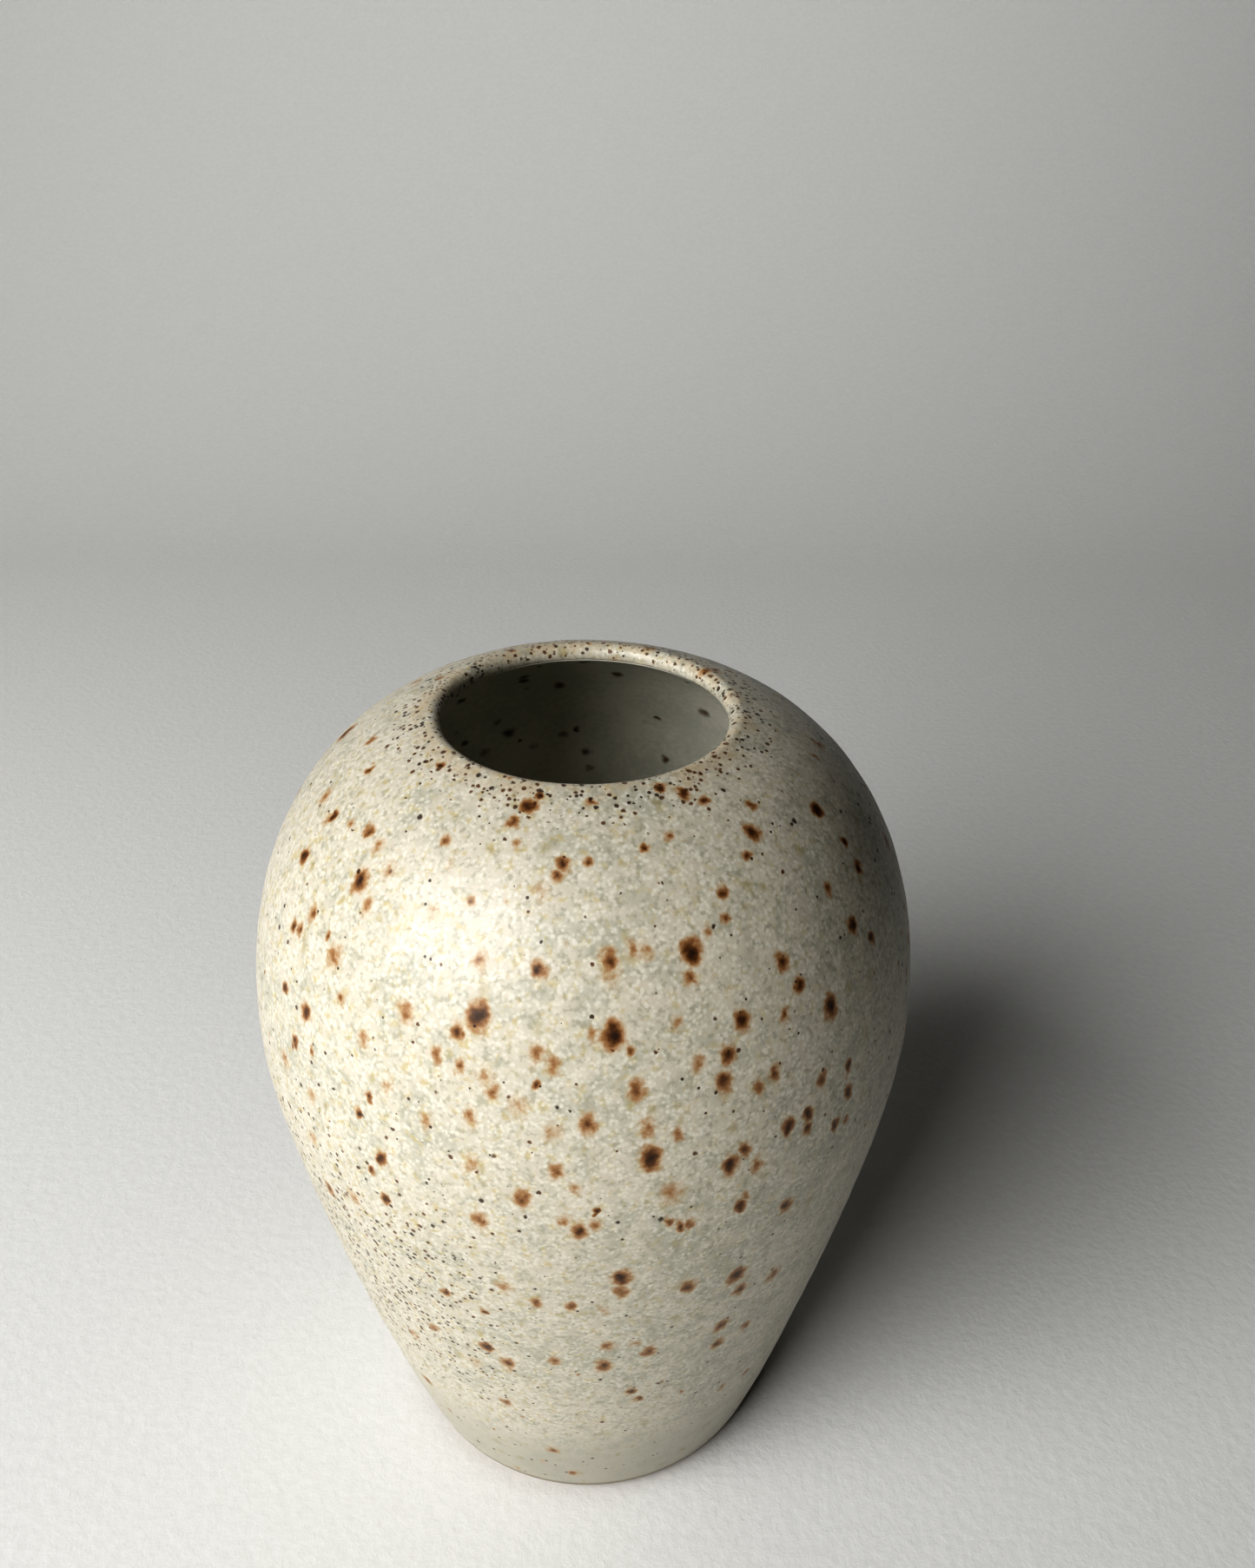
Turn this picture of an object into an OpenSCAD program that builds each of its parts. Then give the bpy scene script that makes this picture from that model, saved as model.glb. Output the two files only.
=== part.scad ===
// Wheel-thrown stoneware bud vase: a thin clay wall, a glaze coat outside and a glaze coat inside.
// Everything turns about Z. The table is z = 0. Sizes are millimetres.

/* [Overall] */
// Height from the table to the top of the lip
height = 120; // [105:1:150]
// Widest diameter of the belly
belly_d = 88.5; // [75:0.5:110]
// Height of the widest point above the table
belly_height = 78; // [65:1:94]
// Diameter of the glazed wall, carried down to the table
foot_d = 56.5; // [45:0.5:68]
// Clear diameter of the mouth at its narrowest
mouth_d = 35.5; // [28:0.5:44]

/* [Outline] */
// Outward lean of the wall at the foot, in degrees from upright
foot_lean = 20.5; // [10:0.5:28]
// How far up the wall the foot's lean carries
foot_carry = 11.5; // [4:0.5:20]
// How far below its widest point the belly stays near upright
belly_carry_down = 14.5; // [6:0.5:22]
// How far above its widest point the belly stays near upright
belly_carry_up = 21; // [8:0.5:24]
// Slope of the shoulder where it reaches the lip, in degrees from level
shoulder_slope = 16.5; // [8:0.5:30]
// How far out from the lip that slope carries
shoulder_carry = 17.5; // [8:0.5:20]

/* [Wall] */
// Clay thickness at the belly
wall = 4; // [3:0.1:6]
// Clay thickness low down by the foot
foot_wall = 6; // [4:0.1:8]
// Thickness of the rounded lip, glaze included
lip_thickness = 2.7; // [2.2:0.1:4]
// Clay thickness of the floor, above the recess
floor_thickness = 5; // [3.5:0.1:8]
// How high the floor's rounding climbs up the inside of the wall
floor_climb = 14; // [8:0.5:20]

/* [Foot] */
// Width of the ring that stands on the table
ring_width = 5; // [3.5:0.1:8]
// Depth of the recess turned inside the ring
recess_depth = 2.2; // [1.2:0.1:3]
// Softened edge on both sides of the ring
ring_edge = 0.6; // [0.3:0.1:1]

/* [Glaze] */
// Thickness of each glaze coat
glaze = 0.4; // [0.3:0.05:0.6]
// Height of the bare clay left above the table
glaze_line = 1.6; // [1.2:0.1:6]
// Height over which the glaze's lower edge rounds off
glaze_roll = 0.7; // [0.4:0.1:1.5]
// How far down the inner side of the lip the two coats meet, in degrees below its narrowest point
coats_meet = 25; // [5:1:45]

/* [Hidden] */
turn_fn = 180;          // facets per turn in a preview; the exact solids are round
wall_steps = 36;        // straight steps along each long curve of the outline
lip_steps = 14;         // straight steps along each part of the lip
edge_steps = 6;         // straight steps along each small rounding
floor_reach = 0.75;     // how far in from the wall the floor starts to turn up, as a share of the climb
floor_hold = 0.6;       // how far down from its top the turn keeps to the wall's slope, as a share of the climb
lip_r = lip_thickness / 2;
lip_centre = [mouth_d / 2 + lip_r, height - lip_r];
lip_start = 90 - shoulder_slope;    // direction from the lip's centre to where the shoulder joins it
lip_meet = 180 + coats_meet;        // direction to where the two coats meet
lip_end = lip_start + 180;          // direction to where the inside of the wall leaves it
shoulder_end = lip_centre + lip_r * [cos(lip_start), sin(lip_start)];
foot_point = [foot_d / 2, 0];
belly_point = [belly_d / 2, belly_height];
floor_top = recess_depth + floor_thickness + glaze;

// The glazed outside as two curves: the flank from foot to belly, and the shoulder from belly to lip
flank = [
    foot_point,
    foot_point + foot_carry * [sin(foot_lean), cos(foot_lean)],
    belly_point - [0, belly_carry_down],
    belly_point
];
shoulder = [
    belly_point,
    belly_point + [0, belly_carry_up],
    shoulder_end + shoulder_carry * [cos(shoulder_slope), -sin(shoulder_slope)],
    shoulder_end
];

// A cubic curve, its direction, its outward side, and a point some depth under it
function curve(p, t) = pow(1 - t, 3) * p[0] + 3 * pow(1 - t, 2) * t * p[1]
    + 3 * (1 - t) * t * t * p[2] + pow(t, 3) * p[3];
function along(p, t) = pow(1 - t, 2) * (p[1] - p[0]) + 2 * (1 - t) * t * (p[2] - p[1]) + t * t * (p[3] - p[2]);
function outward(p, t) = let (d = along(p, t)) [d.y, -d.x] / norm(d);
function under(p, t, depth) = curve(p, t) - depth * outward(p, t);
function ease(t) = t * t * (3 - 2 * t);

// Full thickness of the pot, clay and both coats, along each curve
function flank_thickness(t) = 2 * glaze + foot_wall + (wall - foot_wall) * ease(t);
function shoulder_thickness(t) = (2 * glaze + wall) * (1 - ease(t)) + lip_thickness * ease(t);

// Where along the flank the outside, or the inside, reaches a height
function outside_at(z, low = 0, high = 1, tries = 30) =
    let (mid = (low + high) / 2)
    tries == 0 ? mid
    : curve(flank, mid).y < z ? outside_at(z, mid, high, tries - 1) : outside_at(z, low, mid, tries - 1);
function inside_at(z, low = 0, high = 1, tries = 30) =
    let (mid = (low + high) / 2)
    tries == 0 ? mid
    : under(flank, mid, flank_thickness(mid)).y < z ? inside_at(z, mid, high, tries - 1)
    : inside_at(z, low, mid, tries - 1);

edge_t = outside_at(ring_edge);
line_t = outside_at(glaze_line);
roll_t = outside_at(glaze_line + glaze_roll);
floor_t = inside_at(floor_top + floor_climb);

// The glazed inside of the floor, from the axis out to where it has turned up into the wall
floor_rim = under(flank, floor_t, flank_thickness(floor_t));
floor_rise = along(flank, floor_t) / norm(along(flank, floor_t));
bowl = [
    [0, floor_top],
    [floor_rim.x - floor_climb * floor_reach, floor_top],
    floor_rim - floor_climb * floor_hold * floor_rise,
    floor_rim
];

// Runs of outline points. The outside runs lie some depth under the glazed outside.
function flank_run(from, depth) =
    [for (i = [0:wall_steps]) under(flank, from + (1 - from) * i / wall_steps, depth)];
function shoulder_run(depth) = [for (i = [1:wall_steps]) under(shoulder, i / wall_steps, depth)];
function lip_run(from, to, depth) =
    [for (i = [1:lip_steps]) let (a = from + (to - from) * i / lip_steps)
        lip_centre + (lip_r - depth) * [cos(a), sin(a)]];

// The inside, from just under the lip down to the axis, lying some depth behind the glazed inside
function inside_run(depth) = concat(
    [for (i = [1:wall_steps]) let (t = 1 - i / wall_steps)
        under(shoulder, t, shoulder_thickness(t) - depth)],
    [for (i = [1:wall_steps]) let (t = 1 - (1 - floor_t) * i / wall_steps)
        under(flank, t, flank_thickness(t) - depth)],
    [for (i = [1:wall_steps]) under(bowl, 1 - i / wall_steps, -depth)]
);

// The same points, last one first
function backwards(points) = [for (i = [len(points) - 1:-1:0]) points[i]];

// The underside: the recess, its rounded corner, and the ring that stands on the table
function foot_run() =
    let (
        ring_out = under(flank, 0, glaze).x - ring_edge,
        corner_r = recess_depth - ring_edge,
        recess_r = ring_out - ring_width - ring_edge
    )
    concat(
        [[0, recess_depth]],
        [for (i = [edge_steps:-1:0]) let (a = 90 * i / edge_steps)
            [recess_r - corner_r, ring_edge] + corner_r * [cos(a), sin(a)]],
        [[ring_out - ring_width, 0], [ring_out, 0]]
    );

// Clay wall, floor and foot ring, thrown as one piece
module stoneware_body() {
    color([0.56, 0.48, 0.37])
        rotate_extrude($fn = turn_fn)
            polygon(concat(
                foot_run(),
                [under(flank, edge_t, glaze)],
                flank_run(line_t, glaze),
                shoulder_run(glaze),
                lip_run(lip_start, lip_meet, glaze),
                lip_run(lip_meet, lip_end, glaze),
                inside_run(glaze)
            ));
}

// Coat outside, from its rolled lower edge up over the lip
module outer_glaze() {
    color([0.82, 0.81, 0.75])
        rotate_extrude($fn = turn_fn)
            polygon(concat(
                [for (i = [1:edge_steps - 1]) let (a = 90 * i / edge_steps)
                    under(flank, line_t + (roll_t - line_t) * (1 - cos(a)), glaze * (1 - sin(a)))],
                flank_run(roll_t, 0),
                shoulder_run(0),
                lip_run(lip_start, lip_meet, 0),
                backwards(concat(
                    flank_run(line_t, glaze),
                    shoulder_run(glaze),
                    lip_run(lip_start, lip_meet, glaze)
                ))
            ));
}

// Liner coat inside, from where it meets the outer coat down over the floor
module inner_glaze() {
    meet_side = [cos(lip_meet), sin(lip_meet)];
    color([0.66, 0.66, 0.61])
        rotate_extrude($fn = turn_fn)
            polygon(concat(
                [lip_centre + lip_r * meet_side],
                lip_run(lip_meet, lip_end, 0),
                inside_run(0),
                backwards(concat(
                    [lip_centre + (lip_r - glaze) * meet_side],
                    lip_run(lip_meet, lip_end, glaze),
                    inside_run(glaze)
                ))
            ));
}

stoneware_body();
outer_glaze();
inner_glaze();
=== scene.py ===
import math

import bpy
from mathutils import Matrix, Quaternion, Vector, noise


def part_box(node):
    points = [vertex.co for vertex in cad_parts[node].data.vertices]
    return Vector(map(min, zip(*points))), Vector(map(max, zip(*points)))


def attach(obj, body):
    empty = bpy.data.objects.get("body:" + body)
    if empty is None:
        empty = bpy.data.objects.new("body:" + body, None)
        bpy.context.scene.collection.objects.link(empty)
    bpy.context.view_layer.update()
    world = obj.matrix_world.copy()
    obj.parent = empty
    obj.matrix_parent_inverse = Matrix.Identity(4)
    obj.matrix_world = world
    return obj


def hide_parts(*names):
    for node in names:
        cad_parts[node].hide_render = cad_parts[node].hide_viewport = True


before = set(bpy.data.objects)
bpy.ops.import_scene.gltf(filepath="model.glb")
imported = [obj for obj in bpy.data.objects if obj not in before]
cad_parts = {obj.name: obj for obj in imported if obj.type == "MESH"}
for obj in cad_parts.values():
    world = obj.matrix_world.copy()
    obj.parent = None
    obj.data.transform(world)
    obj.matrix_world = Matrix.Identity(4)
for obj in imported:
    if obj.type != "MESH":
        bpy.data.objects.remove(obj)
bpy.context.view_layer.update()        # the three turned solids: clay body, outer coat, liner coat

mm = 0.001


def nothingSelected():
    if bpy.context.mode != "OBJECT":
        bpy.ops.object.mode_set(mode="OBJECT")
    bpy.ops.object.select_all(action="DESELECT")


def easeIn(value, low, high):
    # 0 below low, 1 above high, smooth between
    t = max(0.0, min(1.0, (value - low) / (high - low)))
    return t * t * (3 - 2 * t)


# Outline of the pot: heights and radii of the glazed outside. The overall ones come from the frame.

glazeLow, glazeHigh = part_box("outer_glaze")
clayLow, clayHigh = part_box("stoneware_body")

potShape = {
    "height": glazeHigh.z,
    "bellyRadius": (glazeHigh.x - glazeLow.x) / 2,
    "bellyHeight": 78 * mm,
    "footRadius": 28.25 * mm,       # the glazed wall carried down to the table
    "mouthRadius": 17.75 * mm,
    "footLean": math.radians(20.5),
    "footCarry": 11.5 * mm,
    "bellyCarryDown": 14.5 * mm,
    "bellyCarryUp": 21 * mm,
    "shoulderSlope": math.radians(16.5),
    "shoulderCarry": 17.5 * mm,
    "lipRadius": 1.35 * mm,
    "glaze": glazeHigh.z - clayHigh.z,
    "wall": 4 * mm,
    "footWall": 6 * mm,
    "floorTop": 7.6 * mm,
    "floorClimb": 14 * mm,
    "floorReach": 0.75,             # how far in from the wall the floor starts to turn up, in climbs
    "floorHold": 0.6,               # how far down the turn keeps to the wall's slope, in climbs
    "recess": 2.2 * mm,
    "ringWidth": 5 * mm,
    "ringEdge": 0.6 * mm,
    "glazeLine": 1.6 * mm,
    "glazeRoll": 0.7 * mm,
    "coatsMeet": math.radians(205),
}
pot = potShape

lipCentre = Vector((pot["mouthRadius"] + pot["lipRadius"], pot["height"] - pot["lipRadius"]))
lipStart = math.pi / 2 - pot["shoulderSlope"]
lipEnd = lipStart + math.pi
bellyPoint = Vector((pot["bellyRadius"], pot["bellyHeight"]))
footPoint = Vector((pot["footRadius"], 0))


def lipPoint(angle, depth=0.0):
    return lipCentre + (pot["lipRadius"] - depth) * Vector((math.cos(angle), math.sin(angle)))


shoulderEnd = lipPoint(lipStart)
footSlope = Vector((math.sin(pot["footLean"]), math.cos(pot["footLean"])))
shoulderFall = Vector((math.cos(pot["shoulderSlope"]), -math.sin(pot["shoulderSlope"])))
flank = [footPoint, footPoint + pot["footCarry"] * footSlope,
         bellyPoint - Vector((0, pot["bellyCarryDown"])), bellyPoint]
shoulder = [bellyPoint, bellyPoint + Vector((0, pot["bellyCarryUp"])),
            shoulderEnd + pot["shoulderCarry"] * shoulderFall, shoulderEnd]


def curvePoint(p, t):
    return (1 - t) ** 3 * p[0] + 3 * (1 - t) ** 2 * t * p[1] + 3 * (1 - t) * t * t * p[2] + t ** 3 * p[3]


def curveAlong(p, t):
    d = (1 - t) ** 2 * (p[1] - p[0]) + 2 * (1 - t) * t * (p[2] - p[1]) + t * t * (p[3] - p[2])
    return d.normalized()


def under(p, t, depth):
    d = curveAlong(p, t)
    return curvePoint(p, t) - depth * Vector((d.y, -d.x))


def flankThickness(t):
    return 2 * pot["glaze"] + pot["footWall"] + (pot["wall"] - pot["footWall"]) * easeIn(t, 0, 1)


def shoulderThickness(t):
    full = 2 * pot["glaze"] + pot["wall"]
    return full + (2 * pot["lipRadius"] - full) * easeIn(t, 0, 1)


def whereOnFlank(height, depthAt=lambda t: 0.0):
    low, high = 0.0, 1.0
    tries = 40
    for _ in range(tries):
        mid = (low + high) / 2
        low, high = (mid, high) if under(flank, mid, depthAt(mid)).y < height else (low, mid)
    return low


lineT = whereOnFlank(pot["glazeLine"])
rollT = whereOnFlank(pot["glazeLine"] + pot["glazeRoll"])
edgeT = whereOnFlank(pot["ringEdge"])
floorT = whereOnFlank(pot["floorTop"] + pot["floorClimb"], flankThickness)
floorRim = under(flank, floorT, flankThickness(floorT))
floorEdge = floorRim.x - pot["floorClimb"] * pot["floorReach"]
bowl = [Vector((0, pot["floorTop"])), Vector((floorEdge, pot["floorTop"])),
        floorRim - pot["floorClimb"] * pot["floorHold"] * curveAlong(flank, floorT), floorRim]

# straight steps along each run, before it is spaced out evenly
runSteps = {"outside": 160, "lip": 40, "inside": 120, "floor": 80}


def steps(low, high, count):
    return [low + (high - low) * i / count for i in range(count + 1)]


def spread(points, gap):
    # the same run of points again, evenly spaced about one gap apart
    lengths = [0.0]
    for a, b in zip(points, points[1:]):
        lengths.append(lengths[-1] + (b - a).length)
    count = max(1, round(lengths[-1] / gap))
    out, k = [], 0
    for i in range(count + 1):
        s = lengths[-1] * i / count
        while k < len(points) - 2 and lengths[k + 1] < s:
            k += 1
        share = (s - lengths[k]) / max(lengths[k + 1] - lengths[k], 1e-12)
        out.append(points[k].lerp(points[k + 1], share))
    return out


def outsideRun(startT, depth):
    # up the wall and over the shoulder, some depth under the glazed outside
    return ([under(flank, t, depth) for t in steps(startT, 1, runSteps["outside"])]
            + [under(shoulder, t, depth) for t in steps(0, 1, runSteps["outside"])[1:]])


def lipRun(start, end, depth):
    return [lipPoint(a, depth) for a in steps(start, end, runSteps["lip"])]


def insideRun(depth):
    # from under the lip down to the axis, some depth behind the glazed inside
    return ([under(shoulder, t, shoulderThickness(t) - depth) for t in steps(1, 0, runSteps["inside"])]
            + [under(flank, t, flankThickness(t) - depth) for t in steps(1, floorT, runSteps["inside"])[1:]]
            + [under(bowl, t, -depth) for t in steps(1, 0, runSteps["floor"])[1:]])


# Throwing: one spun outline per piece, then the hand's waver
def throwOutline(name, outline, turns):
    # a single point is drawn along the outline, then spun about the wheel's axis
    nothingSelected()
    first = outline[0]
    bpy.ops.mesh.primitive_plane_add(size=mm, location=(first.x, 0, first.y))
    piece = bpy.context.object
    piece.name = piece.data.name = name
    bpy.ops.object.transform_apply(location=True, rotation=True, scale=True)
    bpy.ops.object.mode_set(mode="EDIT")
    bpy.ops.mesh.select_all(action="SELECT")
    bpy.ops.mesh.merge(type="CENTER")
    for a, b in zip(outline, outline[1:]):
        bpy.ops.mesh.extrude_vertices_move(TRANSFORM_OT_translate={"value": (b.x - a.x, 0, b.y - a.y)})
    bpy.ops.mesh.select_all(action="SELECT")
    bpy.ops.mesh.remove_doubles(threshold=0.02 * mm)
    bpy.ops.mesh.spin(steps=turns, angle=2 * math.pi, center=(0, 0, 0), axis=(0, 0, 1))
    bpy.ops.mesh.select_all(action="SELECT")
    bpy.ops.mesh.remove_doubles(threshold=0.01 * mm)
    bpy.ops.mesh.normals_make_consistent(inside=False)
    bpy.ops.object.mode_set(mode="OBJECT")
    bpy.ops.object.shade_smooth()
    return piece


handWaver = {
    "ringPitch": 5.2 * mm,        # rise of the throwing spiral in one turn
    "ringDepth": 0.035 * mm,
    "ringFade": 14 * mm,          # height over which the rings come and go
    "outOfRound": 0.12 * mm,
    "ovalSide": 0.8,              # which way the oval lies, in radians
    "ovalFrom": 20 * mm,
    "ovalTo": 80 * mm,
    "lumps": 0.10 * mm,           # slow swells left by the hand
    "lumpSize": 30 * mm,
    "lean": 0.3 * mm,             # the lower wall sits this much to one side
    "leanSide": math.radians(190),
    "stillMiddle": (2 * mm, 14 * mm),      # nothing moves nearer the axis than the first of these
    "stillFoot": (0.3 * mm, 6 * mm),       # nor nearer the table than the first of these
}


def waver(x, y, z):
    # how far the thrown wall stands from a true turning at this place, radially
    w = handWaver
    angle = math.atan2(y, x)
    rings = w["ringDepth"] * math.sin(2 * math.pi * z / w["ringPitch"] + angle)
    rings *= 0.5 + 0.5 * noise.noise(Vector((0, 3.0, z / w["ringFade"])))
    swell = w["lumps"] * noise.noise(Vector((x, y, z)) / w["lumpSize"] + Vector((7.3, 1.1, 4.2)))
    oval = w["outOfRound"] * math.cos(2 * angle + w["ovalSide"]) * easeIn(z, w["ovalFrom"], w["ovalTo"])
    lean = w["lean"] * math.cos(angle - w["leanSide"]) * math.sin(math.pi * min(1, z / pot["height"]))
    return rings + swell + oval + lean


def throwByHand(piece, extra=None):
    # moves every point outwards or inwards; nothing moves at the table or on the axis
    for v in piece.data.vertices:
        x, y, z = v.co
        r = math.hypot(x, y)
        hold = easeIn(r, *handWaver["stillMiddle"]) * easeIn(z, *handWaver["stillFoot"])
        push = waver(x, y, z) * hold
        if hold > 0:
            v.co.x += push * x / r
            v.co.y += push * y / r
    if extra:
        extra(piece)
    piece.data.update()


# Clay body: only its turned foot shows, so that end is the fine one

footTurning = {
    "turns": 240,
    "fineGap": 0.35 * mm,
    "coarseGap": 3 * mm,
    "grooves": 0.05 * mm,         # depth of the rings left by the turning tool
    "groovePitch": 1.3 * mm,
    "groovesFrom": 1.2 * mm,      # grooves lie between these heights
    "groovesTo": 2.3 * mm,
    "groovesOut": 21 * mm,        # and no further out than this
    "smoothMiddle": 3 * mm,
    "lipGap": 0.4 * mm,
}


def clayOutline():
    ringOut = under(flank, 0, pot["glaze"]).x - pot["ringEdge"]
    corner = pot["recess"] - pot["ringEdge"]
    recessRadius = ringOut - pot["ringWidth"] - pot["ringEdge"]
    middle = Vector((recessRadius - corner, pot["ringEdge"]))
    recessTop = [Vector((0, pot["recess"])), Vector((middle.x, pot["recess"]))]
    underside = spread(recessTop, footTurning["fineGap"])
    cove = [middle + corner * Vector((math.cos(a), math.sin(a))) for a in steps(math.pi / 2, 0, 8)[1:]]
    ring = spread([Vector((ringOut - pot["ringWidth"], 0)), Vector((ringOut, 0))], footTurning["fineGap"])
    bareWall = spread([under(flank, t, pot["glaze"]) for t in steps(edgeT, lineT, 8)], footTurning["fineGap"])
    covered = spread(outsideRun(lineT, pot["glaze"]), footTurning["coarseGap"])
    lip = spread(lipRun(lipStart, lipEnd, pot["glaze"]), footTurning["lipGap"])
    inside = spread(insideRun(pot["glaze"]), footTurning["coarseGap"])
    return underside + cove + ring + bareWall + covered[1:] + lip[1:] + inside[1:]


def turnTheFoot(piece):
    # fine concentric grooves in the recess and on the ring's inner side
    for v in piece.data.vertices:
        r = math.hypot(v.co.x, v.co.y)
        inRecess = footTurning["groovesFrom"] < v.co.z < footTurning["groovesTo"]
        if inRecess and r < footTurning["groovesOut"]:
            groove = math.sin(2 * math.pi * r / footTurning["groovePitch"])
            v.co.z += footTurning["grooves"] * groove * easeIn(r, 0, footTurning["smoothMiddle"])


clayBody = throwOutline("thrown_clay_body", clayOutline(), footTurning["turns"])
throwByHand(clayBody, turnTheFoot)
print("clay body thrown,", len(clayBody.data.polygons), "faces")


# Outer coat: fine all over, with the slight swells of a satin glaze

outerCoat = {
    "turns": 360,
    "gap": 0.85 * mm,
    "backGap": 5 * mm,
    "backLipGap": 0.5 * mm,
    "run": 0.05 * mm,             # how far the coat's own thickness wanders
    "runSize": 7 * mm,
    "runFrom": 4 * mm,            # no lower than this
}


def outerOutline():
    g = pot["glaze"]
    rolled = [under(flank, lineT + (rollT - lineT) * (1 - math.cos(a)), g * (1 - math.sin(a)))
              for a in steps(0, math.pi / 2, 6)]
    outside = spread(outsideRun(rollT, 0), outerCoat["gap"])
    lip = lipRun(lipStart, pot["coatsMeet"], 0)[::2]
    back = spread(lipRun(pot["coatsMeet"], lipStart, g), outerCoat["backLipGap"])
    backWall = spread(outsideRun(lineT, g)[::-1], outerCoat["backGap"])
    return rolled[:-1] + outside + lip[1:] + back + backWall[1:]


def wanderingThickness(piece):
    normals = [v.normal.copy() for v in piece.data.vertices]
    for v, n in zip(piece.data.vertices, normals):
        radial = Vector((v.co.x, v.co.y, 0)).normalized()
        facesOut = n.dot(radial) > 0 or n.z > 0.5
        if facesOut and v.co.z > outerCoat["runFrom"]:
            p = v.co / outerCoat["runSize"]
            swell = noise.noise(p) + 0.5 * noise.noise(p * 2.3 + Vector((5, 5, 5)))
            v.co += n * outerCoat["run"] * swell


outerPiece = throwOutline("speckled_outer_glaze", outerOutline(), outerCoat["turns"])
throwByHand(outerPiece, wanderingThickness)
print("outer coat laid,", len(outerPiece.data.polygons), "faces")


# Liner coat inside

linerCoat = {"turns": 240, "gap": 1.4 * mm, "backGap": 6 * mm}


def linerOutline():
    g = pot["glaze"]
    inside = spread(lipRun(pot["coatsMeet"], lipEnd, 0)[:-1] + insideRun(0), linerCoat["gap"])
    behind = spread((lipRun(pot["coatsMeet"], lipEnd, g)[:-1] + insideRun(g))[::-1], linerCoat["backGap"])
    return inside + behind + [inside[0]]


linerPiece = throwOutline("liner_glaze_inside", linerOutline(), linerCoat["turns"])
throwByHand(linerPiece)
print("liner coat laid,", len(linerPiece.data.polygons), "faces")


# Shader helper and the three materials

class Weave:
    # short way to add and join shader nodes in one tree
    def __init__(self, name):
        self.material = bpy.data.materials.new(name)
        self.material.use_nodes = True
        self.tree = self.material.node_tree
        self.tree.nodes.clear()

    def add(self, kind, settings=None, **inputs):
        node = self.tree.nodes.new(kind)
        for key, value in (settings or {}).items():
            setattr(node, key, value)
        for key, value in inputs.items():
            socket = node.inputs[int(key[1:])] if key[1:].isdigit() else node.inputs[key.replace("_", " ")]
            self.put(socket, value)
        return node

    def put(self, socket, value):
        if isinstance(value, bpy.types.NodeSocket):
            self.tree.links.new(value, socket)
        elif isinstance(value, bpy.types.Node):
            self.tree.links.new(value.outputs[0], socket)
        else:
            socket.default_value = value

    def math(self, operation, a, b=0.0, c=0.0):
        return self.add("ShaderNodeMath", {"operation": operation}, i0=a, i1=b, i2=c).outputs[0]

    def vmath(self, operation, a, b=(0, 0, 0), c=(0, 0, 0)):
        return self.add("ShaderNodeVectorMath", {"operation": operation}, i0=a, i1=b, i2=c).outputs[0]

    def noise(self, place, size, detail=2.0, roughness=0.5):
        # cloudy noise whose lumps are about this size, as a value and as a colour
        return self.add("ShaderNodeTexNoise", None, Vector=place, Scale=1 / size, Detail=detail,
                        Roughness=roughness)

    def cells(self, place, size, **settings):
        return self.add("ShaderNodeTexVoronoi", settings, Vector=place, Scale=1 / size)

    def band(self, value, low, high, toLow=0.0, toHigh=1.0):
        # smooth change from toLow to toHigh as the value goes from low to high
        return self.add("ShaderNodeMapRange", {"interpolation_type": "SMOOTHSTEP"},
                        i0=value, i1=low, i2=high, i3=toLow, i4=toHigh).outputs[0]

    def mix(self, share, a, b):
        # a where the share is 0, b where it is 1
        node = self.add("ShaderNodeMix", {"data_type": "RGBA"})
        self.put(node.inputs[0], share)
        self.put(node.inputs[6], a)
        self.put(node.inputs[7], b)
        return node.outputs[2]

    def ramp(self, value, stops):
        node = self.add("ShaderNodeValToRGB", None, Fac=value)
        elements = node.color_ramp.elements
        stops = list(stops)
        while len(elements) < len(stops):
            elements.new(0.5)
        for element, (position, colour) in zip(elements, stops):
            element.position = position
            element.color = (*colour, 1)
        return node.outputs[0]

    def times(self, *shares):
        out = shares[0]
        for share in shares[1:]:
            out = self.math("MULTIPLY", out, share)
        return out

    def output(self, shader):
        self.add("ShaderNodeOutputMaterial", None, Surface=shader)


def place(w):
    return w.add("ShaderNodeTexCoord").outputs["Object"]


def solid(colour):
    return (*colour, 1)


glazeGround = {
    "cream": (0.64, 0.597, 0.50),
    "greyGreen": (0.52, 0.503, 0.42),
    "straw": (0.55, 0.455, 0.21),
    "grainWhite": (0.82, 0.79, 0.70),
    "gapGrey": (0.37, 0.355, 0.27),
    "cloudSize": 20 * mm,
    "patchSize": 3.2 * mm,
    "toneFade": (0.40, 0.60),      # each fade: where it starts and where it is full
    "groupSize": 1.6 * mm,
    "groupFade": (0.30, 0.58),
    "cloudShare": 0.35,
    # the left side, where the window light falls, is painted lighter and creamier: painted light, together
    # with the glaze's own warmer cream there
    "creamAndPaintedLightOnLeft": 0.06,
    "leftFrom": 30 * mm,
    "leftTo": -25 * mm,
    "strawSize": 1.1 * mm,
    "strawFade": (0.54, 0.70),
    "strawShare": 0.62,
    "strawOnRight": 0.5,
    "grainSize": 0.5 * mm,
    "grainShake": 0.25 * mm,
    "grainFade": (0.62, 0.10),
    "grainShare": 0.68,
    "gapSize": 0.8 * mm,
    "gapFade": (0.50, 0.34),
    "gapShare": 0.50,
    "calmFoot": 0.3,               # how much of the grain and gaps is left by the foot
    "roughness": 0.40,
    "roughnessRange": 0.14,
    "bumpDepth": 0.06 * mm,
    "grainRelief": -0.6,
    "patchRelief": 1.2,
}

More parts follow.
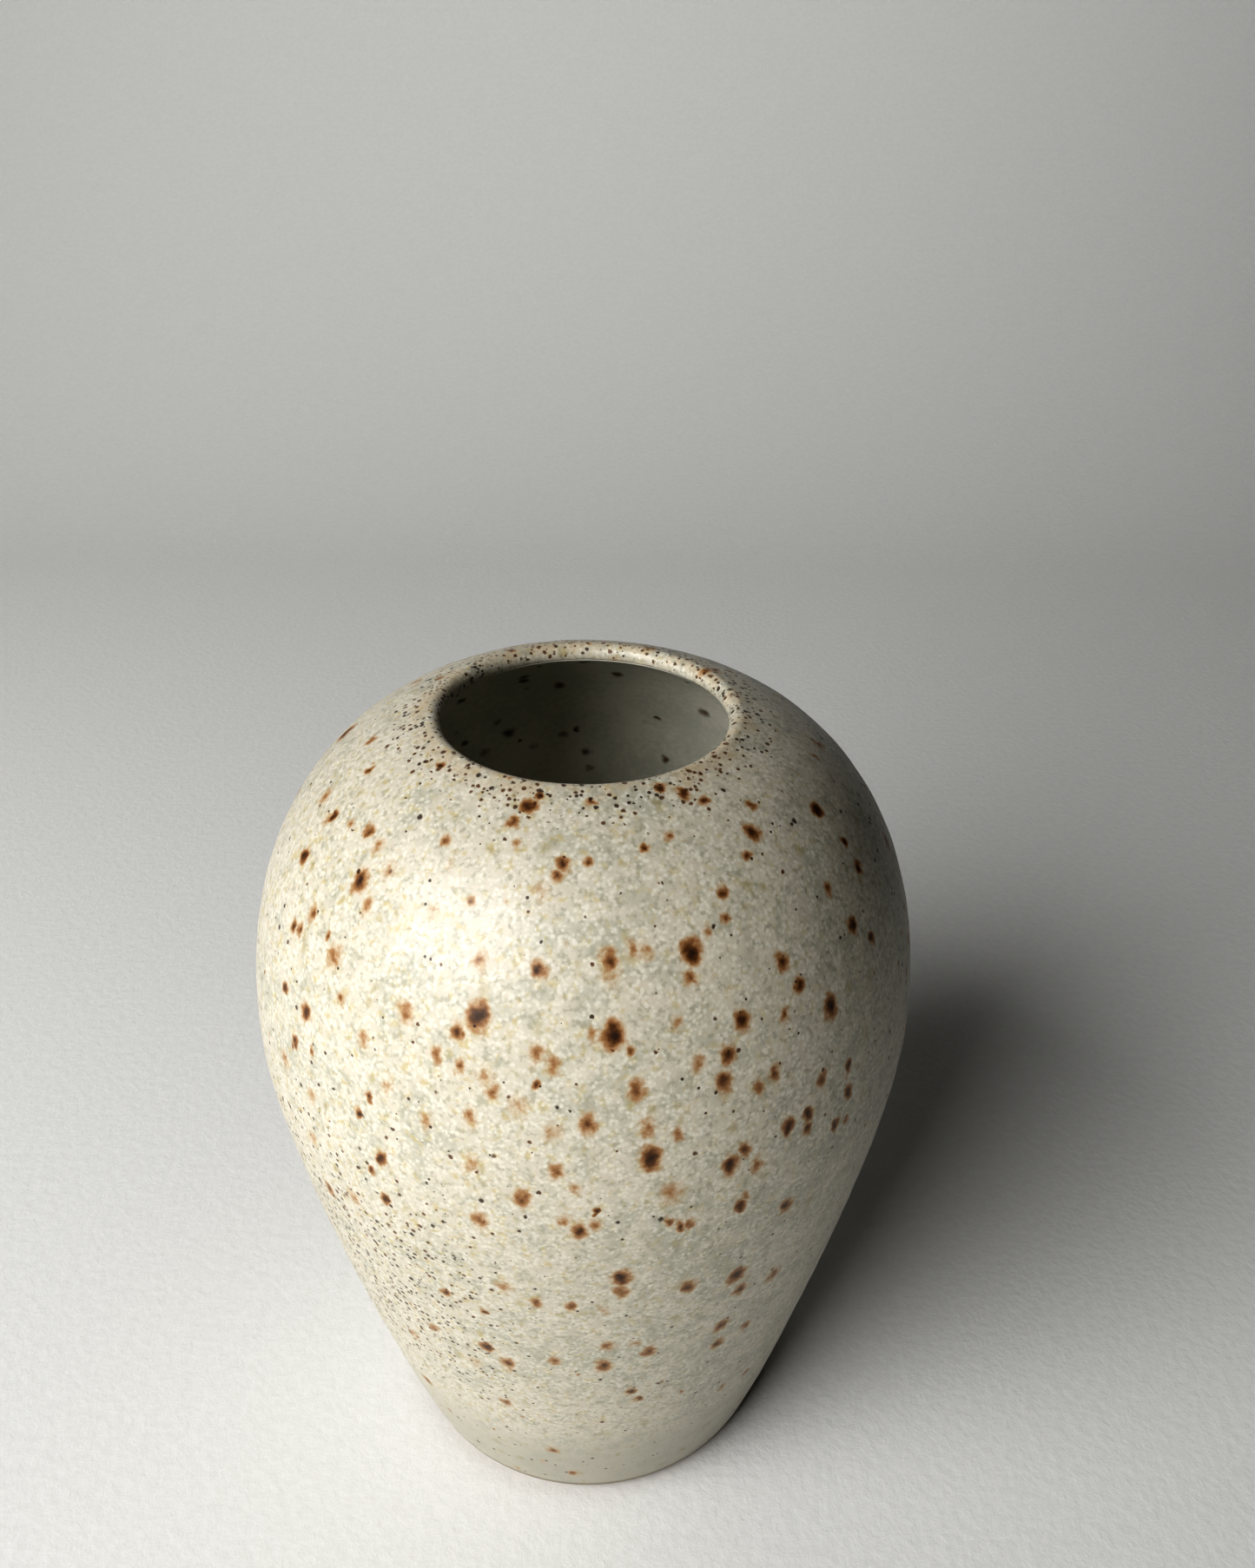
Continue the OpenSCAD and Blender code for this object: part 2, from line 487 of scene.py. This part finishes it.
glazeEdges = {
    "rubbedLip": (0.52, 0.40, 0.24),
    "rubbedFrom": 118.9 * mm,
    "rubbedTo": 119.9 * mm,
    "rubbedFade": (0.35, 0.6),
    "rubbedShare": 0.4,
    "footGrey": (0.475, 0.46, 0.395),
    "footFrom": 30 * mm,
    "footTo": 10 * mm,
    "footShare": 0.65,
    "thinEdge": (0.19, 0.14, 0.07),
    "thinShare": 0.85,
    "lineTop": 3.6 * mm,
    "lineLow": 2.2 * mm,
}

# The iron that bled through: the marks on the front are put on one by one, the rest is scattered.
# Each mark: degrees round from the front, height, size and paleness (0 a dark middle, 1 only a stain).
ironMarks = {
    "core": (0.055, 0.031, 0.019),
    "brown": (0.145, 0.067, 0.027),
    "brownFade": (0.42, 0.58),     # some specks are black, some brown
    "halo": (0.41, 0.235, 0.11),
    "stain": (0.56, 0.41, 0.23),
    "stretch": 0.70,               # marks run downwards: the height counts for less
    "raggedSize": 1.5 * mm,
    "ragged": 1.2 * mm,
    "crumbSize": 0.45 * mm,
    "crumb": 0.28 * mm,
    "bleed": 1.05,
    "olive": (0.40, 0.335, 0.15),
    "oliveCell": 3.1 * mm,
    "oliveSizes": (0.10, 0.27),
    "oliveChance": 0.7,
    "oliveFade": (1.25, 0.2),
    "oliveShare": 0.5,
    "edgeNoise": 0.09,
    "edgeFade": (1.15, 0.60),
    "shadeStops": (0.10, 0.38, 0.70, 1.0),      # core, brown, halo, stain
    "placed": [
        (-15, 103, 1.7, 0.0), (-18, 101, 1.0, 0.25), (-17, 97.5, 0.8, 0.3), (-21, 98, 0.9, 0.5),
        (-12, 95.5, 0.9, 0.4), (-15, 92, 1.0, 0.5), (-22, 90, 0.9, 0.6), (-32, 90, 0.7, 0.0),
        (-34, 87, 0.8, 0.0), (-30, 82, 1.0, 0.0), (-32, 79.5, 0.6, 0.1), (-30, 75.5, 0.9, 0.1),
        (-6, 108, 1.1, 0.1), (-16, 108, 1.1, 0.5), (-5.5, 100, 1.1, 0.5), (-3, 99, 1.0, 0.5),
        (-5.5, 97, 0.6, 0.2), (2, 92.5, 1.2, 0.4), (-3, 91.5, 1.0, 0.7), (-45, 110.5, 1.5, 0.0),
        (-46, 113.5, 0.9, 0.6), (-40, 112.5, 0.9, 0.7), (-44, 103, 1.3, 0.5), (-53, 105, 1.0, 0.4),
        (-57, 102, 0.9, 0.2), (-47, 104.5, 0.6, 0.2), (-64, 108, 1.2, 0.0), (-64, 112.5, 0.8, 0.0),
        (-51, 114, 1.0, 0.3), (-57, 113.5, 0.8, 0.6), (-68, 116.5, 0.9, 0.2), (-50, 119.4, 0.7, 0.0),
        (-12, 119.5, 0.7, 0.0), (-14, 119, 1.2, 0.1), (-17, 118, 1.0, 0.3), (-31, 116, 0.8, 0.4),
        (-3, 115.8, 1.1, 0.15), (-4, 115, 0.7, 0.3), (2.5, 116, 0.8, 0.3), (-7, 114, 0.9, 0.75),
        (-27, 111, 0.8, 0.8), (-40, 99.5, 0.8, 0.4), (-48, 95, 1.2, 0.1), (-55, 95, 0.8, 0.1),
        (-34, 96.5, 0.9, 0.5), (-50, 90, 0.8, 0.1), (-45, 91, 0.6, 0.3), (-29, 92.5, 0.9, 0.75),
        (-15, 86, 1.0, 0.65), (-13, 97, 0.9, 0.75), (-8, 94, 1.0, 0.75), (-7.5, 82, 1.2, 0.35),
        (-14, 77.5, 1.2, 0.45), (0.5, 77.5, 1.2, 0.2), (3, 78.5, 0.9, 0.5), (3, 80.5, 0.5, 0.0),
        (-1.5, 79, 0.8, 0.5), (0, 84, 0.8, 0.65), (26, 119.6, 0.95, 0.0), (31.5, 119, 1.0, 0.1),
        (36, 118.4, 0.9, 0.2), (4, 119.3, 0.8, 0.3), (15.5, 116.5, 0.8, 0.2), (22, 117, 0.7, 0.4),
        (42, 115.5, 1.3, 0.1), (47, 117, 0.8, 0.3), (37.5, 114.3, 0.8, 0.2), (29, 112.5, 0.9, 0.3),
        (27.5, 110.5, 0.7, 0.4), (23.5, 109.8, 0.7, 0.5), (20, 108.5, 1.5, 0.0), (19, 106.3, 0.9, 0.45),
        (6, 107.5, 1.1, 0.75), (10, 109.5, 0.9, 0.6), (12, 109.3, 0.9, 0.65), (6, 102, 1.6, 0.0),
        (3, 102, 0.8, 0.55), (16, 102.5, 0.9, 0.55), (26.5, 101, 1.2, 0.1), (36, 105, 1.2, 0.15),
        (38, 102, 1.0, 0.2), (34, 99.8, 0.9, 0.4), (43.5, 98, 1.4, 0.0), (54, 104, 1.2, 0.0),
        (58, 101, 0.9, 0.1), (63, 114, 1.2, 0.0), (63, 107.7, 1.0, 0.0), (63.5, 110.5, 0.8, 0.1),
        (23.5, 98, 1.1, 0.2), (18.5, 98, 0.9, 0.5), (22.5, 94.5, 1.3, 0.6), (31, 94, 1.0, 0.35),
        (28, 93, 0.9, 0.45), (9, 96, 1.2, 0.35), (15, 90, 0.8, 0.5), (11, 87.5, 1.6, 0.05),
        (23, 84, 1.3, 0.1), (25.5, 85.5, 1.0, 0.25), (33, 86, 1.2, 0.0), (37, 86.5, 1.0, 0.0),
        (36.5, 84.3, 1.0, 0.1), (46, 85.5, 1.0, 0.0), (46, 89, 0.9, 0.1), (40, 90, 1.0, 0.35),
        (43, 82, 1.0, 0.2), (14, 82, 1.4, 0.6), (25, 77, 1.1, 0.15), (15.5, 76.5, 0.9, 0.2),
        (17, 76.5, 0.8, 0.35), (7, 68, 1.5, 0.0), (7, 65, 1.2, 0.4), (18, 63.5, 1.3, 0.25),
        (27, 62, 1.5, 0.1), (28.5, 58, 1.3, 0.2), (-6.5, 62.5, 1.1, 0.4), (-1, 62, 1.0, 0.3),
        (-11.5, 65, 1.1, 0.65), (-17, 48.5, 1.2, 0.15), (-13.5, 45.5, 1.3, 0.25), (-4.5, 48, 1.1, 0.45),
        (4.5, 46.5, 1.4, 0.2), (5, 52, 1.1, 0.5), (12.5, 49, 1.2, 0.3), (10, 38, 1.1, 0.25),
        (12, 35, 0.8, 0.3), (26.5, 50, 1.3, 0.2), (27, 45, 1.2, 0.25), (33, 46, 1.0, 0.4),
        (-7.5, 17.5, 1.2, 0.45), (34, 73, 1.2, 0.2), (36, 57, 1.3, 0.4), (-22.5, 60, 0.8, 0.2),
        (-16, 58, 0.7, 0.2),
    ],
    "behindFrom": -8 * mm,
    "behindTo": 12 * mm,
    "bigCell": 8.5 * mm,
    "bigSizes": (0.08, 0.24),      # as shares of the cell
    "bigChance": 0.9,
    "middleCell": 4.3 * mm,
    "middleSizes": (0.08, 0.30),
    "middleChance": (0.40, 0.85),  # in front, behind
    "middlePale": 0.38,
    "pinCell": 2.7 * mm,
    "pinSizes": (0.04, 0.085),
    "pinFade": (1.1, 0.7),
    "fleckCell": 1.5 * mm,
    "fleckSizes": (0.10, 0.30),
    "fleckFade": (1.1, 0.5),
    "fleckChance": (0.85, 0.62),   # on the rim, on the lower left flank
    "pepperCell": 0.74 * mm,
    "pepperSizes": (0.15, 0.48),
    "pepperFade": (1.05, 0.6),
    "pepperChance": (0.95, 0.6),   # by the lip, on the lower left flank
    "pepperShare": 0.9,
    "lipFrom": 117.9 * mm,
    "lipTo": 119.4 * mm,
    "rimFrom": 118.4 * mm,
    "rimTo": 119.7 * mm,
    "strayChance": 0.03,
    "flankSide": (-3 * mm, -21 * mm),
    "flankFoot": (25 * mm, 42 * mm),
    "flankTop": (90 * mm, 62 * mm),
}


def radiusAt(height, run=outsideRun(rollT, 0)):
    for low, high in zip(run, run[1:]):
        if low.y <= height <= high.y:
            return low.x + (high.x - low.x) * (height - low.y) / (high.y - low.y)
    return run[-1].x


def scattered(w, at, cell, sizes, chance, seed):
    # spots scattered through space; 0 at a spot's middle, 1 at its edge, more outside
    shifted = w.vmath("ADD", at, (seed, seed * 0.7, seed * 1.3))
    grid = w.cells(shifted, cell)
    pick = w.add("ShaderNodeSeparateColor", None, Color=grid.outputs["Color"])
    size = w.band(pick.outputs[0], 0.0, 1.0, *sizes)
    absent = w.math("GREATER_THAN", pick.outputs[1], chance)
    reach = w.math("DIVIDE", grid.outputs["Distance"], size)
    farOutside = 10.0
    return w.math("MULTIPLY_ADD", absent, farOutside, reach)


def markedByHand(w, at):
    m = ironMarks
    nearest = None
    for angle, height, size, pale in m["placed"]:
        r = radiusAt(height * mm)
        a = math.radians(angle)
        centre = (r * math.sin(a), -r * math.cos(a), height * mm * m["stretch"])
        away = w.add("ShaderNodeVectorMath", {"operation": "DISTANCE"}, i0=at, i1=centre).outputs["Value"]
        start = pale * m["bleed"]      # a pale mark starts further out along the colours
        reach = w.math("MULTIPLY_ADD", away, (1 - start) / (size * mm), start)
        nearest = reach if nearest is None else w.math("MINIMUM", nearest, reach)
    return nearest


def glazeMaterial():
    w = Weave("speckled_satin_glaze")
    g = glazeGround
    e = glazeEdges
    m = ironMarks
    here = place(w)
    axes = w.add("ShaderNodeSeparateXYZ", None, Vector=here)
    side, back, height = axes.outputs

    # ragged edges: the place is shaken before the marks are looked up
    lump = w.vmath("SUBTRACT", w.noise(here, m["raggedSize"], 1.0).outputs["Color"], (0.5, 0.5, 0.5))
    crumb = w.vmath("SUBTRACT", w.noise(here, m["crumbSize"], 1.0).outputs["Color"], (0.5, 0.5, 0.5))
    shaken = w.vmath("MULTIPLY_ADD", lump, (m["ragged"],) * 3, here)
    shaken = w.vmath("MULTIPLY_ADD", crumb, (m["crumb"],) * 3, shaken)
    drawn = w.vmath("MULTIPLY", shaken, (1, 1, m["stretch"]))

    # ground: clouds of cream and grey-green, straw-yellow patches, pale grains and grey gaps
    cloud = w.noise(here, g["cloudSize"], 2.0).outputs[0]
    patch = w.noise(here, g["patchSize"], 3.0, 0.6).outputs[0]
    fine = w.noise(here, g["gapSize"], 2.0, 0.6).outputs[0]
    leftward = w.band(side, g["leftFrom"], g["leftTo"])
    nearFoot = w.band(height, e["footFrom"], e["footTo"])
    tone = w.math("ADD", w.times(cloud, g["cloudShare"]), w.times(patch, 1 - g["cloudShare"]))
    # painted light: the lit left side's tone is pushed lighter and creamier, along with the glaze's own
    # warmer cream
    tone = w.math("ADD", tone, w.times(leftward, g["creamAndPaintedLightOnLeft"]))
    ground = w.mix(w.band(tone, *g["toneFade"]), solid(g["greyGreen"]), solid(g["cream"]))
    strawNoise = w.noise(w.vmath("ADD", here, (0.3, 0.1, 0.2)), g["strawSize"], 2.0).outputs[0]
    strawSide = w.band(leftward, 0.0, 1.0, g["strawOnRight"], 1.0)
    strawPlaces = w.times(w.band(strawNoise, *g["strawFade"]), strawSide)
    ground = w.mix(w.times(strawPlaces, g["strawShare"]), ground, solid(g["straw"]))
    calm = w.band(nearFoot, 0.0, 1.0, 1.0, g["calmFoot"])
    gaps = w.times(w.band(fine, *g["gapFade"]), g["gapShare"], calm)
    ground = w.mix(gaps, ground, solid(g["gapGrey"]))
    grainPlace = w.vmath("MULTIPLY_ADD", crumb, (g["grainShake"],) * 3, here)
    grain = w.cells(grainPlace, g["grainSize"], feature="SMOOTH_F1")
    groups = w.noise(w.vmath("ADD", here, (0.1, 0.3, 0.5)), g["groupSize"], 2.0).outputs[0]
    grouped = w.band(groups, *g["groupFade"])
    grainShare = w.times(w.band(grain.outputs["Distance"], *g["grainFade"]), grouped, g["grainShare"], calm)
    ground = w.mix(grainShare, ground, solid(g["grainWhite"]))
    ground = w.mix(w.times(nearFoot, e["footShare"]), ground, solid(e["footGrey"]))

    rubbed = w.times(w.band(height, e["rubbedFrom"], e["rubbedTo"]), w.band(patch, *e["rubbedFade"]),
                     e["rubbedShare"])
    ground = w.mix(rubbed, ground, solid(e["rubbedLip"]))

    # soft olive stains, where a little iron has dissolved
    olives = scattered(w, drawn, m["oliveCell"], m["oliveSizes"], m["oliveChance"], 0.62)
    ground = w.mix(w.band(olives, *m["oliveFade"], 0.0, m["oliveShare"]), ground, solid(m["olive"]))

    # iron: placed marks in front, scattered ones behind, and small ones all over
    behind = w.band(back, m["behindFrom"], m["behindTo"])
    big = scattered(w, drawn, m["bigCell"], m["bigSizes"], w.times(behind, m["bigChance"]), 0.31)
    middleChance = w.band(behind, 0, 1, *m["middleChance"])
    middle = scattered(w, drawn, m["middleCell"], m["middleSizes"], middleChance, 0.77)
    middle = w.math("MULTIPLY_ADD", middle, 1 - m["middlePale"], m["middlePale"])
    iron = w.math("MINIMUM", w.math("MINIMUM", big, middle), markedByHand(w, drawn))
    iron = w.math("ADD", iron, w.band(fine, 0.3, 0.7, -m["edgeNoise"], m["edgeNoise"]))
    shade = w.ramp(iron, zip(m["shadeStops"], (m["core"], m["brown"], m["halo"], m["stain"])))
    colour = w.mix(w.band(iron, *m["edgeFade"]), ground, shade)

    # pin dots everywhere; pepper thick by the lip and on the lower left of the wall
    ironBrown = w.mix(w.band(patch, *m["brownFade"]), solid(m["core"]), solid(m["brown"]))
    pins = scattered(w, here, m["pinCell"], m["pinSizes"], 1.0, 0.11)
    colour = w.mix(w.band(pins, *m["pinFade"], 0.0, m["pepperShare"]), colour, solid(m["core"]))
    byLip = w.band(height, m["lipFrom"], m["lipTo"])
    onRim = w.band(height, m["rimFrom"], m["rimTo"])
    lowerLeft = w.times(w.band(side, *m["flankSide"]), w.band(height, *m["flankFoot"]),
                        w.band(height, *m["flankTop"]))
    crumbled = w.vmath("MULTIPLY_ADD", crumb, (m["crumb"],) * 3, here)
    onRimChance, onFlankChance = m["fleckChance"]
    fleckChance = w.math("ADD", w.times(onRim, onRimChance), w.times(lowerLeft, onFlankChance))
    fleckChance = w.math("ADD", fleckChance, m["strayChance"])
    flecks = scattered(w, crumbled, m["fleckCell"], m["fleckSizes"], fleckChance, 0.19)
    colour = w.mix(w.band(flecks, *m["fleckFade"], 0.0, m["pepperShare"]), colour, ironBrown)
    byLipChance, onFlankChance = m["pepperChance"]
    pepperChance = w.math("ADD", w.times(byLip, byLipChance), w.times(lowerLeft, onFlankChance))
    pepperChance = w.math("ADD", pepperChance, m["strayChance"])
    pepper = scattered(w, crumbled, m["pepperCell"], m["pepperSizes"], pepperChance, 0.53)
    colour = w.mix(w.band(pepper, *m["pepperFade"], 0.0, m["pepperShare"]), colour, ironBrown)

    # the thin brown line where the coat ends
    thin = w.band(height, e["lineTop"], e["lineLow"], 0.0, e["thinShare"])
    colour = w.mix(thin, colour, solid(e["thinEdge"]))

    # roughness and relief
    rough = w.math("MULTIPLY_ADD", fine, g["roughnessRange"], g["roughness"] - g["roughnessRange"] / 2)
    grainRelief = w.times(grain.outputs["Distance"], g["grainRelief"])
    relief = w.math("ADD", grainRelief, w.times(patch, g["patchRelief"]))
    bump = w.add("ShaderNodeBump", None, Strength=0.6, Distance=g["bumpDepth"], Height=relief).outputs[0]
    shader = w.add("ShaderNodeBsdfPrincipled", None, Base_Color=colour, Roughness=rough, Normal=bump)
    shader.inputs["IOR"].default_value = 1.5
    w.output(shader)
    return w.material


# the liner's grey and cream are painted far lighter than the same glaze outside, standing in for light inside
# the mouth: painted light
linerLookWithPaintedLight = {
    "grey": (0.75, 0.74, 0.655),
    "cream": (0.87, 0.85, 0.75),
    "stain": (0.13, 0.065, 0.03),
    "cloudSize": 11 * mm,
    "cloudShare": 0.6,
    "grainSize": 0.9 * mm,
    "toneFade": (0.38, 0.62),
    "stainCell": 4.3 * mm,
    "stainSizes": (0.10, 0.28),
    "stainChance": 0.95,
    "stainFade": (1.2, 0.2),
    "stainShare": 0.9,
    "roughness": 0.42,
    "roughnessRange": 0.12,
    "bumpDepth": 0.05 * mm,
}


def linerMaterial():
    w = Weave("liner_glaze")
    k = linerLookWithPaintedLight
    here = place(w)
    cloud = w.noise(here, k["cloudSize"], 3.0).outputs[0]
    fine = w.noise(here, k["grainSize"], 2.0, 0.6).outputs[0]
    tone = w.math("ADD", w.times(cloud, k["cloudShare"]), w.times(fine, 1 - k["cloudShare"]))
    # painted light: this ground is much lighter than the outer glaze's, standing in for light that reaches
    # inside
    ground = w.mix(w.band(tone, *k["toneFade"]), solid(k["grey"]), solid(k["cream"]))
    lump = w.vmath("SUBTRACT", w.noise(here, ironMarks["raggedSize"], 1.0).outputs["Color"], (0.5, 0.5, 0.5))
    shaken = w.vmath("MULTIPLY_ADD", lump, (ironMarks["ragged"],) * 3, here)
    stains = scattered(w, shaken, k["stainCell"], k["stainSizes"], k["stainChance"], 0.4)
    colour = w.mix(w.band(stains, *k["stainFade"], 0.0, k["stainShare"]), ground, solid(k["stain"]))
    rough = w.math("MULTIPLY_ADD", fine, k["roughnessRange"], k["roughness"] - k["roughnessRange"] / 2)
    bump = w.add("ShaderNodeBump", None, Strength=0.5, Distance=k["bumpDepth"], Height=fine).outputs[0]
    shader = w.add("ShaderNodeBsdfPrincipled", None, Base_Color=colour, Roughness=rough, Normal=bump)
    w.output(shader)
    return w.material


clayLook = {
    "dark": (0.17, 0.115, 0.07),
    "middle": (0.33, 0.24, 0.15),
    "light": (0.44, 0.35, 0.24),
    "grog": (0.62, 0.54, 0.42),
    "grainSize": 0.7 * mm,
    "grogCell": 1.6 * mm,
    "grogSizes": (0.06, 0.22),
    "grogChance": 0.7,
    "ironChance": 0.4,
    "speckFade": (1.05, 0.6),
    "speckShare": 0.8,
    "grainStops": (0.3, 0.55, 0.75),
    "roughness": 0.86,
    "roughnessRange": 0.1,
    "bumpDepth": 0.12 * mm,
}


def clayMaterial():
    w = Weave("bare_stoneware")
    k = clayLook
    here = place(w)
    grain = w.noise(here, k["grainSize"], 4.0, 0.7).outputs[0]
    colour = w.ramp(grain, zip(k["grainStops"], (k["dark"], k["middle"], k["light"])))
    grog = scattered(w, here, k["grogCell"], k["grogSizes"], k["grogChance"], 0.2)
    colour = w.mix(w.band(grog, *k["speckFade"], 0.0, k["speckShare"]), colour, solid(k["grog"]))
    iron = scattered(w, here, k["grogCell"], k["grogSizes"], k["ironChance"], 0.9)
    colour = w.mix(w.band(iron, *k["speckFade"], 0.0, k["speckShare"]), colour, solid(ironMarks["core"]))
    rough = w.math("MULTIPLY_ADD", grain, k["roughnessRange"], k["roughness"] - k["roughnessRange"] / 2)
    relief = w.math("ADD", grain, w.band(grog, 1.0, 0.6, 0.0, 0.5))
    bump = w.add("ShaderNodeBump", None, Strength=0.6, Distance=k["bumpDepth"], Height=relief).outputs[0]
    shader = w.add("ShaderNodeBsdfPrincipled", None, Base_Color=colour, Roughness=rough, Normal=bump)
    w.output(shader)
    return w.material


outerPiece.data.materials.append(glazeMaterial())
linerPiece.data.materials.append(linerMaterial())
clayBody.data.materials.append(clayMaterial())
print("glazes and clay mixed")

for piece, node, slotName in ((clayBody, "stoneware_body", "stoneware"),
                              (outerPiece, "outer_glaze", "outer_glaze"),
                              (linerPiece, "inner_glaze", "inner_glaze")):
    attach(piece, "root")
    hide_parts(node)


# Paper sweep, light and camera

paperSweep = {
    "width": 1.15,
    "front": -0.9,
    "bend": 0.36,          # how far behind the vase the paper starts to rise
    "bendRadius": 0.38,
    "top": 0.9,
    "colour": (0.875, 0.875, 0.86),
    "shade": (0.845, 0.845, 0.83),
    "bendSteps": 40,
    "toothSize": 1.8 * mm,
    "toothFade": (0.3, 0.7),
    "toothDepth": 0.22 * mm,
    "roughness": (0.86, 0.95),
}


def makePaper():
    s = paperSweep
    nothingSelected()
    bpy.ops.mesh.primitive_plane_add(size=mm, location=(-s["width"] / 2, s["front"], 0))
    paper = bpy.context.object
    paper.name = "paper_sweep"
    bpy.ops.object.transform_apply(location=True, rotation=True, scale=True)
    bpy.ops.object.mode_set(mode="EDIT")
    bpy.ops.mesh.select_all(action="SELECT")
    bpy.ops.mesh.merge(type="CENTER")
    line = [Vector((s["front"], 0)), Vector((s["bend"], 0))]
    line += [Vector((s["bend"] + s["bendRadius"] * math.sin(a), s["bendRadius"] * (1 - math.cos(a))))
             for a in steps(0, math.pi / 2, s["bendSteps"])[1:]]
    line.append(Vector((line[-1].x, s["top"])))
    for a, b in zip(line, line[1:]):
        bpy.ops.mesh.extrude_vertices_move(TRANSFORM_OT_translate={"value": (0, b.x - a.x, b.y - a.y)})
    bpy.ops.mesh.select_all(action="SELECT")
    bpy.ops.mesh.extrude_edges_move(TRANSFORM_OT_translate={"value": (s["width"], 0, 0)})
    bpy.ops.mesh.select_all(action="SELECT")
    bpy.ops.mesh.normals_make_consistent(inside=False)
    bpy.ops.object.mode_set(mode="OBJECT")
    bpy.ops.object.shade_smooth()
    w = Weave("paper")
    here = place(w)
    tooth = w.noise(here, s["toothSize"], 4.0, 0.65).outputs[0]
    bump = w.add("ShaderNodeBump", None, Strength=0.6, Distance=s["toothDepth"], Height=tooth).outputs[0]
    shade = w.mix(w.band(tooth, *s["toothFade"]), solid(s["shade"]), solid(s["colour"]))
    rough = w.band(tooth, *s["toothFade"], *s["roughness"])
    shader = w.add("ShaderNodeBsdfPrincipled", None, Base_Color=shade, Roughness=rough, Normal=bump)
    w.output(shader)
    paper.data.materials.append(w.material)


makePaper()

studioLight = {
    # side: degrees round from the front towards the left; rise: degrees above level
    "window": {"aim": (0, 0, 0.07), "side": 45.5, "rise": 34.5, "away": 0.85, "size": 0.6, "power": 6.0},
    "sideWindow": {"aim": (0, 0, 0.07), "side": 80, "rise": 28, "away": 1.0, "size": 0.7, "power": 0.25},
    "backdropLamp": {"aim": (0.12, 0.70, 0.32), "side": -15, "rise": 45, "away": 0.65, "size": 0.6,
                     "power": 0.18, "spread": 95},
    "skyColour": (1.0, 0.88, 0.62),
    "skyStrength": 0.004,
    "wallColour": (0.42, 0.42, 0.41),
}


def softLight(name, aim, side, rise, away, size, power, spread=180):
    nothingSelected()
    side, rise = math.radians(side), math.radians(rise)
    aim = Vector(aim)
    back = Vector((-math.sin(side) * math.cos(rise), -math.cos(side) * math.cos(rise), math.sin(rise)))
    bpy.ops.object.light_add(type="AREA", location=aim + back * away)
    light = bpy.context.object
    light.name = name
    light.data.shape = "SQUARE"
    light.data.size = size
    light.data.energy = power
    light.data.spread = math.radians(spread)
    light.rotation_euler = (-back).to_track_quat("-Z", "Y").to_euler()


def makeLights():
    s = studioLight
    softLight("window", **s["window"])
    softLight("side_window", **s["sideWindow"])
    softLight("backdrop_lamp", **s["backdropLamp"])
    world = bpy.data.worlds.new("room")
    bpy.context.scene.world = world
    world.use_nodes = True
    tree = world.node_tree
    tree.nodes["Background"].inputs[0].default_value = solid(s["skyColour"])
    tree.nodes["Background"].inputs[1].default_value = s["skyStrength"]
    # past the paper's edge one looks at a plain grey wall, which gives no light of its own
    wall = tree.nodes.new("ShaderNodeBackground")
    wall.inputs[0].default_value = solid(s["wallColour"])
    seen = tree.nodes.new("ShaderNodeLightPath")
    either = tree.nodes.new("ShaderNodeMixShader")
    tree.links.new(seen.outputs["Is Camera Ray"], either.inputs[0])
    tree.links.new(tree.nodes["Background"].outputs[0], either.inputs[1])
    tree.links.new(wall.outputs[0], either.inputs[2])
    tree.links.new(either.outputs[0], tree.nodes["World Output"].inputs[0])


makeLights()

cameraSetup = {
    "height": 1.597,       # these three are counted in vase heights
    "back": 1.1558,
    "aside": 0.0443,
    "lookDown": math.radians(30.81),
    "roll": math.radians(0.6),
    "lens": 28.9,
    "filmWidth": 36,
    "nearest": 0.01,
}


def makeCamera():
    c = cameraSetup
    unit = pot["height"]
    nothingSelected()
    bpy.ops.object.camera_add(location=(c["aside"] * unit, -c["back"] * unit, c["height"] * unit))
    camera = bpy.context.object
    camera.data.lens = c["lens"]
    camera.data.sensor_width = c["filmWidth"]
    camera.data.clip_start = c["nearest"]
    tilt = Vector((0, math.cos(c["lookDown"]), -math.sin(c["lookDown"]))).to_track_quat("-Z", "Y")
    camera.rotation_mode = "QUATERNION"
    camera.rotation_quaternion = tilt @ Quaternion((0, 0, 1), c["roll"])
    bpy.context.scene.camera = camera


makeCamera()
bpy.context.scene.view_settings.view_transform = "Standard"
bpy.context.scene.view_settings.look = "Very High Contrast"
print("light and camera placed")
